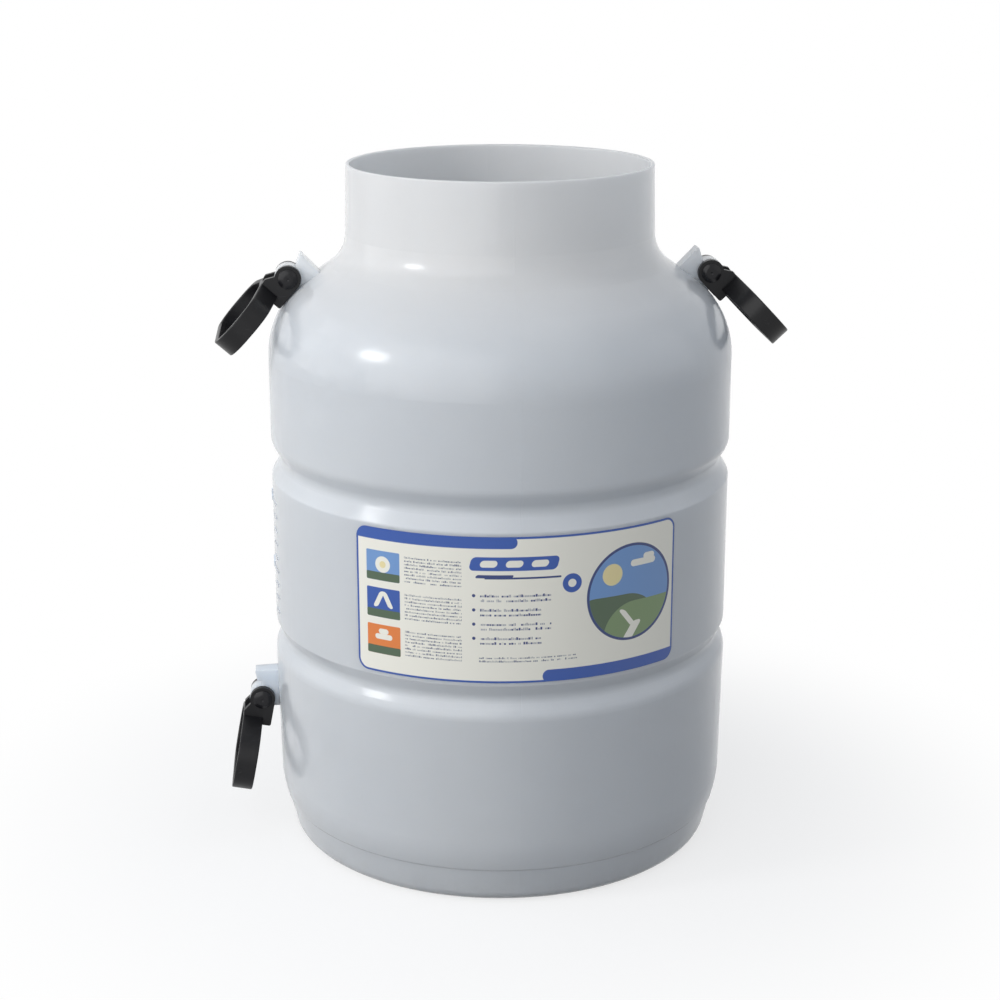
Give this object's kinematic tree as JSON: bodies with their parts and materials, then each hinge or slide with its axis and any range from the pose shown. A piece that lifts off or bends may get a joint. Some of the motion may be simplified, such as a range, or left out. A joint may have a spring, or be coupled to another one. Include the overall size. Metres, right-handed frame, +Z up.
{
  "type": "plastic milk can",
  "caption": "Open tall plastic milk can with a wide mouth, two ribbed grooves round the body, a printed label and black swing handles for lifting and tipping.",
  "frame": {"origin": "centre of the standing ring, on the floor", "axes": "+Z up along the can's axis, -Y the label's side, +X and -X the sides with the shoulder handles; the low handle is on -X"},
  "size_m": [0.4268, 0.3504, 0.52],
  "materials": {
    "can_plastic": "milky white, lightly translucent, satin",
    "label_film": "printed film in blue and cream",
    "handle_plastic": "black, satin",
    "pin_plastic": "black, satin"
  },
  "bodies": {
    "can": {"can_body": "can_plastic", "front_label": "label_film"},
    "left_handle": {"handle_shoulder_left": "handle_plastic", "pin_shoulder_left": "pin_plastic"},
    "right_handle": {"handle_shoulder_right": "handle_plastic", "pin_shoulder_right": "pin_plastic"},
    "low_handle": {"handle_low": "handle_plastic", "pin_low": "pin_plastic"}
  },
  "joints": [
    {"name": "left_handle_swing", "type": "hinge", "parent": "can", "child": "left_handle", "pos_m": [-0.15824, 0, 0.43668], "axis": [0, 1, 0], "range_deg": [0, 120]},
    {"name": "right_handle_swing", "type": "hinge", "parent": "can", "child": "right_handle", "pos_m": [0.15824, 0, 0.43668], "axis": [0, -1, 0], "range_deg": [0, 120]},
    {"name": "low_handle_swing", "type": "hinge", "parent": "can", "child": "low_handle", "pos_m": [-0.18754, 0, 0.10508], "axis": [0, 1, 0], "range_deg": [-20, 112]}
  ]
}
